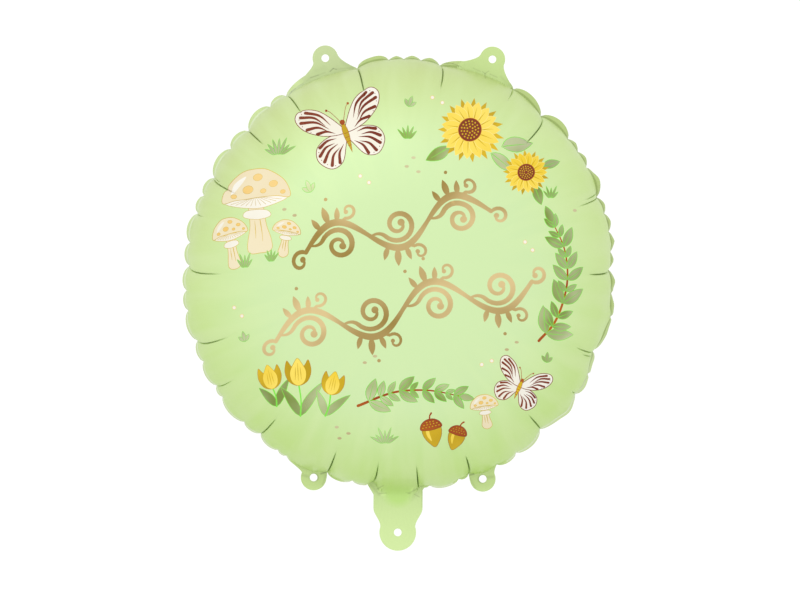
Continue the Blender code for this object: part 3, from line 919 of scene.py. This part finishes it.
def tulip(art, foot, height, size, lean):
    """An ochre and yellow cup on a stem with two metallic leaves."""
    stem = art.moved(foot, lean)
    head = height - size
    for side, long, turn in ((1, 0.72, 62), (-1, 0.6, 112)):
        blade = leaf(height * long, size * 0.34, -0.16, 0.4) * (1, side)
        stem.green(place(blade, turn=turn), 0.4)
    stem.stroke("leaf_edge", [(0, 0), (size * 0.06, head * 0.5), (0, head + 2)], (1.3, 1.1, 1.3))
    cup = art.moved(foot + polar(lean + 90, head), lean, size)
    for side in (1, -1):
        outer = loop([(0, 0), (0.34, 0.12), (0.5, 0.5), (0.42, 0.92), (0.3, 0.78), (0.12, 0.5)])
        cup.edged("ochre", "bark", outer * (side, 1), 0.22)
    middle = mirrored((0, -0.02), (0.24, 0.14), (0.3, 0.5), (0.12, 0.86), (0, 1.0))
    cup.edged("yellow", "ochre", middle, 0.35)
    for x, low, high in ((-0.12, 0.2, 0.66), (0, 0.16, 0.82), (0.12, 0.2, 0.66)):
        cup.stroke("ochre", [(x, low), (x * 0.75, high)], (0.2, 0.55, 0.2), 6)


def acorn(art, at, size, turn):
    """An ochre nut in a brown cup."""
    art = art.moved(at, turn, size)
    nut = mirrored((-0.4, 0), (-0.38, -0.4), (-0.16, -0.78), (0, -0.92), closing=[(0, 0.1)])
    art.edged("ochre", "red_brown", nut, 0.25)
    art.add("yellow", loop([(-0.26, -0.08), (-0.25, -0.36), (-0.1, -0.62), (-0.12, -0.3),
                            (-0.14, -0.08)], 5))
    art.stroke("bark", [(0, 0.32), (0.04, 0.55), (0.14, 0.68)], (1.3, 1.0, 1.4), 5)
    cup = mirrored((-0.48, 0.0), (-0.4, 0.24), (-0.16, 0.4),
                   closing=[(0.24, -0.08), (0, -0.1), (-0.24, -0.08)])
    art.edged("bark", "red_brown", cup, 0.3)
    for row, count in ((0.06, 6), (0.18, 5), (0.29, 3)):
        for k in range(count):
            art.add("ochre", place(oval(0.07, 0.05, 8), ((k - (count - 1) / 2) * 0.145, row)))


def grass(art, foot, height, blades=7):
    """A tuft of metallic blades edged in bright green."""
    for k in range(blades):
        side = k - (blades - 1) / 2
        long = height * (1 - 0.09 * abs(side)) * (0.85 + 0.15 * math.sin(k * 2.9 + height))
        shape = leaf(long, height * 0.13, -0.05 * side, 0.35)
        art.green(place(shape, np.array(foot) + (side * height * 0.06, 0), 90 - side * 17), 0.32)


def sprout(art, foot, size, turn):
    for lean, share in ((38, 0.75), (-34, 0.75), (2, 1)):
        art.green(place(leaf(size * share, size * 0.32, lean / 400, 0.5), foot, turn + lean), 0.3)


def draw_print():
    art = Print([])
    scroll_row(art, (-2.0, 35.5), 144, 13, 3, 15.5)
    scroll_row(art, (2.5, -28.0), 204, 12, 4, 16.5)

    butterfly(art, (-44, 110), 34, 20)
    for at, size, turn in (((38, 100), 22, 215), ((78, 102), 24, 20), ((70, 96), 20, -32),
                           ((104, 72), 17, -62), ((110, 88), 15, 24)):
        spray = art.moved(at, turn, size)
        spray.green(leaf(1, 0.46, -0.1, 0.45), 0.42)
        spray.line("leaf_edge", np.linspace((0.05, 0), (0.8, -0.06), 5), (0.6, 0.4, 0.15))
    sunflower(art, (54, 114), 25)
    sunflower(art, (97, 83), 18, 13)
    mushroom(art, (-110, 20), 64, 54, 4)
    mushroom(art, (-130, 10), 36, 28, 10)
    mushroom(art, (-92, 16), 28, 22, -10)
    grass(art, (-122, 9), 12, 5)
    grass(art, (-101, 12), 10, 5)
    leafy_branch(art, [(110, -52), (124, -34), (132, -6), (130, 20), (120, 42)], 11, 24, 0.4)
    tulip(art, (-99, -104), 34, 19, 12)
    tulip(art, (-80, -112), 46, 21, 2)
    tulip(art, (-60, -112), 36, 18, -14)
    leafy_branch(art, [(-34, -104), (-8, -94), (20, -92), (46, -97)], 9, 20, 0.35)
    butterfly(art, (94, -90), 22, -24)
    acorn(art, (24, -122), 17, 12)
    acorn(art, (44, -127), 15, -18)
    mushroom(art, (68, -122), 26, 22, 8)

    for foot, height, blades in (((-96, 94), 16, 7), ((4, 106), 13, 5), ((118, 62), 12, 5),
                                 ((-14, -134), 15, 7)):
        grass(art, foot, height, blades)
    for foot, size, turn in (((-70, 64), 10, 110), ((116, -70), 9, 80), ((-124, -50), 9, 100),
                             ((4, 132), 9, 70)):
        sprout(art, foot, size, turn)
    for at in ((4, 84), (13, 80), (9, 91), (-90, 52), (-82, 47), (138, 52), (-28, -70),
               (-20, -65), (84, -60), (92, -54), (-42, -126), (-51, -121), (-49, -130)):
        art.add("beige", place(oval(3.4, 2.2, 12), at))
    for at in ((-32, 76), (-25, 71), (22, 140), (30, 136), (-132, -22), (-126, -29),
               (98, 26), (104, 20), (64, -72), (72, -69)):
        art.edged("white", "peach", place(disc(2.6, 12), at), 0.35)
    return art.areas


# Materials

# The middle colours are the films' own; the rim and foot colours are painted shade, deeper and yellower
# towards the seam, most of all towards the tail
FILM_MIDDLE = (0.425, 0.552, 0.285)
FILM_RIM_SHADED = (0.458, 0.590, 0.218)
FILM_FOOT_SHADED = (0.386, 0.556, 0.136)
BACK_MIDDLE = (0.372, 0.490, 0.240)
BACK_RIM_SHADED = (0.345, 0.480, 0.195)
BACK_FOOT_SHADED = (0.335, 0.475, 0.180)
REFLECTION_PATCHES = (1.05, 1.0, 1.35)    # painted reflections in streaky patches: the rim's colour times this
UPPER_LEFT_RIM_SHADE = (0.90, 0.83, 0.93)       # painted shade at the upper left: the rim's colour times this
SEAM_SHADE = (0.93, 0.95, 0.86)     # close to the seam
RIM_SHADE_RADII = (0.10, 0.175)           # from the middle's colour to the rim's painted shade
REFLECTION_PATCH_RADII = (0.06, 0.15)          # over which the painted reflection patches come in
SEAM_SHADE_RADII = (0.150, 0.173)
FILM_INTO_TAIL = (-0.168, -0.178)   # along Y
EDGE_INTO_TAIL = (-0.170, -0.180)
# Painted light on the sealed edge and the seal's inner strip: lit colours with a highlight at the left,
# shaded olive towards the upper right
EDGE_LIT = (0.430, 0.525, 0.250)
EDGE_SHADED = (0.335, 0.425, 0.155)
SEAL_HIGHLIGHT = (0.520, 0.600, 0.390)
SEAL_SHADED = (0.240, 0.320, 0.095)
EDGE_SHADE_AT = 45        # degrees round the balloon
# Painted shade on the flat parts: the tabs at the top darker than the tail, the upper left tab greyer
# still
SHADED_TAB_COLOUR = (0.400, 0.510, 0.205)
UPPER_LEFT_TAB_SHADE = (0.405, 0.480, 0.250)
TAIL_COLOUR = (0.450, 0.570, 0.255)
TONGUE_SHADE_PLACE = 0.003      # middle of the painted shade over the tongue's end, off the body radius
TONGUE_SHADE_RADII = (0.0085, 0.0150)
TONGUE_SHADE_COLOUR = (0.372, 0.545, 0.162)

PIXEL = 0.0008065           # of the photo, which SEAM_FOLD_SHADING and TAB_FOLD_SHADING are given in
PHOTO_MIDDLE = (400, 274)   # the balloon's middle in it

# Painted shade and highlights along folds and dents, and painted shadow round the holes and under the
# cushion, as lines in pixels of the photo: both ends, half width and shade
SEAM_FOLD_SHADING = (
    (330.0, 71.5, 333.2, 68.6, 0.8, 0.55), (333.2, 68.6, 336.4, 69.5, 0.8, 0.6),
    (310.5, 77.8, 318.2, 75.2, 0.9, 0.65), (318.2, 75.2, 325.0, 72.5, 1.2, 0.88),
    (336.4, 69.3, 352.3, 67.8, 1.2, 0.9), (289.1, 95.8, 291.5, 91.8, 0.9, 0.7),
    (291.5, 91.8, 295.4, 88.6, 0.9, 0.75), (295.4, 88.6, 310.0, 78.5, 1.4, 0.94),
    (445.0, 63.2, 453.0, 63.6, 0.9, 0.72), (453.0, 63.6, 460.8, 66.6, 0.9, 0.72),
    (473.2, 68.2, 480.5, 71.6, 0.9, 0.85), (485.0, 73.6, 488.6, 71.2, 0.8, 0.75),
    (485.0, 73.6, 485.0, 79.5, 0.9, 0.82), (485.0, 73.6, 482.4, 71.6, 0.7, 0.75),
    (490.0, 74.1, 497.2, 77.4, 0.8, 0.78), (501.4, 77.3, 512.0, 88.0, 2.4, 0.9),
    (376.8, 489.2, 383.6, 484.9, 0.9, 0.78), (378.8, 491.4, 382.3, 487.2, 1.2, 1.14),
    (379.6, 493.5, 386.2, 492.8, 0.9, 0.82), (380.7, 495.1, 386.0, 494.6, 1.1, 1.12),
    (370.7, 484.9, 379.3, 494.6, 2.2, 0.86), (408.6, 493.1, 416.6, 488.7, 1.4, 0.8),
    (411.2, 490.5, 413.2, 487.3, 1.3, 1.14), (406.0, 492.2, 410.7, 493.5, 0.9, 0.85),
    (414.6, 494.4, 419.3, 496.9, 1.0, 0.8), (411.5, 498.5, 419.0, 492.5, 4.0, 0.93),
)
TAB_FOLD_SHADING = (
    (316.0, 71.0, 324.0, 68.0, 4.0, 0.94), (343.0, 62.0, 352.0, 66.8, 4.0, 0.92),
    (508.0, 79.0, 512.5, 87.5, 2.0, 0.88), (421.9, 487.0, 421.9, 507.0, 1.2, 0.88),
    (321.0, 473.8, 325.4, 472.4, 1.3, 0.62), (302.6, 475.2, 309.2, 476.9, 2.4, 0.84),
    (312.0, 470.0, 312.4, 472.4, 0.9, 0.85), (300.7, 466.6, 310.2, 469.0, 1.8, 0.9),
    (325.6, 475.4, 322.8, 484.6, 1.6, 0.86), (469.1, 475.3, 473.6, 474.1, 1.2, 0.6),
    (486.0, 477.7, 492.8, 476.8, 2.6, 0.84), (481.8, 473.8, 482.8, 472.4, 0.9, 0.88),
    (495.4, 466.6, 496.7, 464.0, 1.3, 1.12), (497.8, 466.0, 499.2, 466.5, 0.9, 0.75),
    (469.6, 477.7, 475.6, 488.1, 1.6, 0.88), (473.9, 472.9, 485.6, 469.9, 2.2, 0.93),
    (314.2, 477.4, 314.3, 477.4, 5.2, 0.1), (482.0, 479.0, 482.1, 479.0, 5.2, 0.1),
)


class Nodes:
    """A short way to write the nodes of a material or a world."""

    def __init__(self, owner, shader):
        owner.use_nodes = True
        self.tree = owner.node_tree
        self.shader = self.tree.nodes[shader].inputs

    def add(self, kind, inputs=None, **settings):
        node = self.tree.nodes.new("ShaderNode" + kind)
        for key, value in settings.items():
            setattr(node, key, value)
        self.fill(node.inputs, inputs or {})
        return node

    def fill(self, sockets, values):
        for key, value in values.items():
            if isinstance(value, bpy.types.NodeSocket):
                self.tree.links.new(value, sockets[key])
            else:
                sockets[key].default_value = value

    def maths(self, operation, *values):
        return self.add("Math", dict(enumerate(values)), operation=operation).outputs[0]

    def ramp(self, value, low, high, to_low=0.0, to_high=1.0):
        return self.add("MapRange", {"Value": value, "From Min": low, "From Max": high,
                                     "To Min": to_low, "To Max": to_high}).outputs[0]

    def vector(self, operation, first, second, output="Vector"):
        inputs = {0: first, "Scale" if operation == "SCALE" else 1: second}
        return self.add("VectorMath", inputs, operation=operation).outputs[output]

    def mix(self, share, first, second):
        first, second = (colour if isinstance(colour, bpy.types.NodeSocket) else (*colour, 1)
                         for colour in (first, second))
        return self.add("Mix", {0: share, 6: first, 7: second}, data_type="RGBA").outputs[2]

    def noise(self, vector, scale, detail=3.0, roughness=0.5):
        return self.add("TexNoise", {"Vector": vector, "Scale": scale, "Detail": detail,
                                     "Roughness": roughness}).outputs[0]

    def split(self, vector):
        return self.add("SeparateXYZ", {0: vector}).outputs


class FilmNodes(Nodes):
    """The nodes of a material on the sheet, with the places on it that they go by."""

    def __init__(self, name):
        self.material = bpy.data.materials.new(name)
        super().__init__(self.material, "Principled BSDF")
        self.position = self.add("TexCoord").outputs["Object"]
        self.flat = self.vector("MULTIPLY", self.position, (1, 1, 0))
        x, self.y, _ = self.split(self.position)
        self.radius = self.vector("LENGTH", self.flat, (0, 0, 0), "Value")
        self.bearing = self.maths("ARCTAN2", self.y, x)

    def towards(self, angle, low, high):
        """0 away from a bearing and 1 near it, by the cosine between low and high."""
        away = self.maths("COSINE", self.maths("SUBTRACT", self.bearing, math.radians(angle)))
        return self.ramp(away, low, high)

    def streaks(self, around, inwards, *settings):
        """Noise drawn out along the radius."""
        place = self.add("CombineXYZ", {"X": self.maths("MULTIPLY", self.bearing, around),
                                        "Y": self.maths("MULTIPLY", self.radius, inwards)})
        return self.noise(place.outputs[0], 1.0, *settings)

    def fold_shaded(self, colour, shading_lines):
        """The colour with soft lines of painted shade and highlight, darker or lighter, where the film
        is folded or dented.
        """
        for *ends, half_width, shade in shading_lines:
            start, end = (np.array((x - PHOTO_MIDDLE[0], PHOTO_MIDDLE[1] - y)) * PIXEL
                          for x, y in (ends[:2], ends[2:]))
            line = end - start
            away = self.vector("SUBTRACT", self.flat, (*start, 0))
            share = self.vector("DOT_PRODUCT", away, (*(line / (line @ line)), 0), "Value")
            near = self.vector("SCALE", (*line, 0), self.ramp(share, 0.0, 1.0))
            distance = self.vector("DISTANCE", away, near, "Value")
            shading = self.ramp(distance, 0.0, half_width * PIXEL, shade, 1.0)
            colour = self.vector("SCALE", colour, shading)
        return colour

    def tongue_shade(self, beyond):
        """Painted shade, a deep green over the end of the tongue, running into the colour beyond it."""
        middle = polar(TAIL_ANGLE, BODY_RADIUS + TONGUE_SHADE_PLACE)
        distance = self.vector("DISTANCE", self.flat, (*middle, 0), "Value")
        return self.mix(self.ramp(distance, *TONGUE_SHADE_RADII), TONGUE_SHADE_COLOUR, beyond)

    def finished(self, colour, metallic, specular, patch_scale, roughness, spread=0.05):
        """The material: uneven roughness, fine grain, and crinkles that run in from the seam."""
        uneven = self.noise(self.position, patch_scale)
        near_seam = self.maths("POWER", self.ramp(self.radius, *CRINKLED_RADII), 1.6)
        crinkle = self.maths("MULTIPLY", self.streaks(46.0, 22.0, 3.0, 0.6), near_seam)
        height = 0.0
        for relief, depth in ((crinkle, CRINKLE_DEPTH),
                              (self.noise(self.position, GRAIN_SCALE, 2.0), GRAIN_DEPTH),
                              (self.noise(self.position, WAVE_SCALE, 2.0), WAVE_DEPTH)):
            height = self.maths("ADD", height, self.maths("MULTIPLY", relief, depth))
        bump = self.add("Bump", {"Height": height, "Strength": 0.6, "Distance": 1.0})
        self.fill(self.shader, {
            "Base Color": colour, "Metallic": metallic, "Specular IOR Level": specular,
            "Roughness": self.ramp(uneven, 0.3, 0.7, roughness - spread, roughness + spread),
            "Normal": bump.outputs[0]})
        return self.material


CRINKLED_RADII = (0.118, 0.170)
CRINKLE_DEPTH = 0.0006
GRAIN_DEPTH = 0.000008
GRAIN_SCALE = 1400.0
WAVE_DEPTH = 0.0006
WAVE_SCALE = 26.0
FILM_SPECULAR = 0.25
INK_SPECULAR = 0.15


def tinted(colour, shade):
    return tuple(part * share for part, share in zip(colour, shade))


def film_material(name, middle, rim, foot, metallic, roughness):
    """Pale green film, with painted shade: deeper and yellower towards the seam, most of all beside the
    tail.
    """
    nodes = FilmNodes(name)
    # painted shade: the rim's colour, and towards the tail the foot's, coming in towards the seam
    outward = nodes.maths("POWER", nodes.ramp(nodes.radius, *RIM_SHADE_RADII), 1.5)
    outer = nodes.mix(nodes.towards(270, -0.1, 0.9), rim, foot)
    colour = nodes.mix(outward, middle, outer)
    # painted shade, greyer over the upper left of the rim
    upper = nodes.maths("MULTIPLY", nodes.towards(112, 0.3, 0.9), outward)
    colour = nodes.mix(upper, colour, tinted(rim, UPPER_LEFT_RIM_SHADE))
    # painted reflections: paler streaks on the outer film
    patches = nodes.ramp(nodes.streaks(9.0, 14.0, 2.0), 0.40, 0.62, 0.0, 0.4)
    patches = nodes.maths("MULTIPLY", patches, nodes.ramp(nodes.radius, *REFLECTION_PATCH_RADII))
    colour = nodes.mix(patches, colour, tinted(rim, REFLECTION_PATCHES))
    beside_seam = nodes.maths("POWER", nodes.ramp(nodes.radius, *SEAM_SHADE_RADII), 2.0)
    colour = nodes.vector("MULTIPLY", colour, nodes.mix(beside_seam, (1, 1, 1), SEAM_SHADE))
    # into the tail's colour, with painted shade over the tongue's end
    colour = nodes.mix(nodes.ramp(nodes.y, *FILM_INTO_TAIL), colour,
                       nodes.tongue_shade(TAIL_COLOUR))
    return nodes.finished(nodes.fold_shaded(colour, SEAM_FOLD_SHADING), metallic, FILM_SPECULAR,
                          40.0, roughness, 0.04)


def edge_material(name, light, dark, dark_range):
    """The heat-sealed edge, with painted light: lighter at the left as a highlight and darker towards
    the upper right as shade.
    """
    nodes = FilmNodes(name)
    # painted light: the lit colour at the left, the shaded one towards the upper right
    colour = nodes.mix(nodes.towards(EDGE_SHADE_AT, *dark_range), light, dark)
    patches = nodes.ramp(nodes.noise(nodes.position, 60.0), 0.3, 0.7, 0.0, 0.15)
    colour = nodes.fold_shaded(nodes.mix(patches, colour, dark), SEAM_FOLD_SHADING)
    return nodes.finished(colour, 0.1, FILM_SPECULAR, 90.0, 0.41)


def tab_material(name):
    """The flat tabs and tail, with painted shade: darker on the tabs at the top, greyer at the upper
    left, and deep green round the tongue's end.
    """
    nodes = FilmNodes(name)
    # painted shade: greyer at the upper left, and the top tabs darker than the tail
    upper = nodes.mix(nodes.towards(109, 0.85, 0.97), SHADED_TAB_COLOUR, UPPER_LEFT_TAB_SHADE)
    colour = nodes.mix(nodes.ramp(nodes.y, *EDGE_INTO_TAIL), upper, TAIL_COLOUR)
    patches = nodes.ramp(nodes.noise(nodes.position, 45.0), 0.35, 0.65, 0.0, 0.25)
    colour = nodes.tongue_shade(nodes.mix(patches, colour, TAIL_COLOUR))
    colour = nodes.fold_shaded(colour, SEAM_FOLD_SHADING + TAB_FOLD_SHADING)
    return nodes.finished(colour, 0.1, FILM_SPECULAR, 90.0, 0.43)


def ink_material(name, colour, second, scale, metallic, roughness):
    """Ink on the film, running between two shades over patches of the given scale."""
    nodes = FilmNodes(name)
    share = nodes.ramp(nodes.noise(nodes.position, scale, 2.0), 0.36, 0.64)
    return nodes.finished(nodes.mix(share, colour, second), metallic, INK_SPECULAR,
                          60.0, roughness)


# Ink, first and second shade, scale of the patches, metallic, roughness
INK_SHADES = {
    "gold": ((0.235, 0.160, 0.042), (0.50, 0.385, 0.190), 14, 0.75, 0.34),
    "foliage": ((0.165, 0.225, 0.052), (0.40, 0.44, 0.25), 24, 0.7, 0.32),
    "leaf_edge": ((0.10, 0.46, 0.018), (0.16, 0.56, 0.05), 20, 0.0, 0.4),
    "yellow": ((0.60, 0.42, 0.022), (0.66, 0.51, 0.085), 20, 0.0, 0.4),
    "ochre": ((0.35, 0.225, 0.002), (0.50, 0.33, 0.010), 24, 0.0, 0.4),
    "cream": ((0.58, 0.50, 0.33), (0.60, 0.54, 0.38), 14, 0.0, 0.4),
    "peach": ((0.60, 0.38, 0.10), (0.62, 0.44, 0.17), 20, 0.0, 0.4),
    "white": ((0.60, 0.57, 0.48), (0.64, 0.62, 0.56), 20, 0.0, 0.4),
    "red_brown": ((0.125, 0.016, 0.003), (0.17, 0.032, 0.010), 24, 0.0, 0.4),
    "bark": ((0.22, 0.035, 0.004), (0.34, 0.085, 0.003), 20, 0.0, 0.4),
    "beige": ((0.350, 0.285, 0.145), (0.45, 0.42, 0.25), 20, 0.0, 0.4),
    "pale_yellow": ((0.64, 0.55, 0.16), (0.66, 0.58, 0.24), 20, 0.0, 0.4),
}

film = film_material("printed_film", FILM_MIDDLE, FILM_RIM_SHADED, FILM_FOOT_SHADED, 0.2, 0.42)
back_film = film_material("plain_film", BACK_MIDDLE, BACK_RIM_SHADED, BACK_FOOT_SHADED, 0.35, 0.34)
# the seal's strip and the rest of the edge, each painted lighter at the left and darker towards the
# upper right
seal = edge_material("seal_highlight_and_shade", SEAL_HIGHLIGHT, SEAL_SHADED, (0.15, 0.45))
edge = edge_material("sealed_edge", EDGE_LIT, EDGE_SHADED, (0.35, 0.6))
tab = tab_material("tabs_and_tail")
inks = [ink_material(name, *INK_SHADES[name]) for name in INKS[1:]]

# The two sheets
front = sheet_mesh("front_film", 1, film_areas(draw_print()), [film, *inks, seal, edge, tab])
back = sheet_mesh("back_film", -1, [], [back_film, seal, edge, tab])
for piece, slot, node in ((front, "front_foil", "front_panel"), (back, "back_foil", "back_panel")):
    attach(piece, "root")
    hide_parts(node)

# Floor, light and camera
FLOOR_SIZE = 14
FLOOR_GAP = 0.0002          # keeps the floor clear of the flat spot
FLOOR_GREY = (0.16, 0.16, 0.16, 1)
FLOOR_GLOW = 0.86           # with its grey, it comes out white like the photo's background
SKY = (1.15, 1.5)           # a soft white studio, brighter overhead than at the horizon
LIGHT_PLACE = (-1.0, 2.2, 2.6)
LIGHT_SIZE = 2.4
LIGHT_POWER = 22
CAMERA_PLACE = (0, -0.0210, MIDDLE + 3.584)     # straight above, a little below the middle
CAMERA_LENS = 200

bpy.ops.mesh.primitive_plane_add(size=FLOOR_SIZE, location=(0, 0, -FLOOR_GAP))
floor = bpy.context.object
floor.name = "floor"
white = bpy.data.materials.new("floor_white")
nodes = Nodes(white, "Principled BSDF")
nodes.fill(nodes.shader, {"Base Color": FLOOR_GREY, "Roughness": 0.9,
                          "Specular IOR Level": 0.0, "Emission Color": (1, 1, 1, 1),
                          "Emission Strength": FLOOR_GLOW})
floor.data.materials.append(white)

world = bpy.data.worlds.new("studio")
bpy.context.scene.world = world
sky = Nodes(world, "Background")
height = sky.split(sky.add("TexCoord").outputs["Generated"])[2]
sky.fill(sky.shader, {"Color": (1, 1, 1, 1), "Strength": sky.ramp(height, 0.0, 0.6, *SKY)})

light_data = bpy.data.lights.new("upper_left", "AREA")
light_data.size = LIGHT_SIZE
light_data.energy = LIGHT_POWER
light = bpy.data.objects.new("upper_left", light_data)
light.location = LIGHT_PLACE
direction = Vector((0, 0, MIDDLE)) - light.location
light.rotation_euler = direction.to_track_quat("-Z", "Y").to_euler()

camera_data = bpy.data.cameras.new("camera")
camera_data.lens = CAMERA_LENS
camera_data.sensor_width = 36
camera = bpy.data.objects.new("camera", camera_data)
camera.location = CAMERA_PLACE
for thing in (light, camera):
    bpy.context.scene.collection.objects.link(thing)
bpy.context.scene.camera = camera
bpy.context.scene.view_settings.view_transform = "Standard"
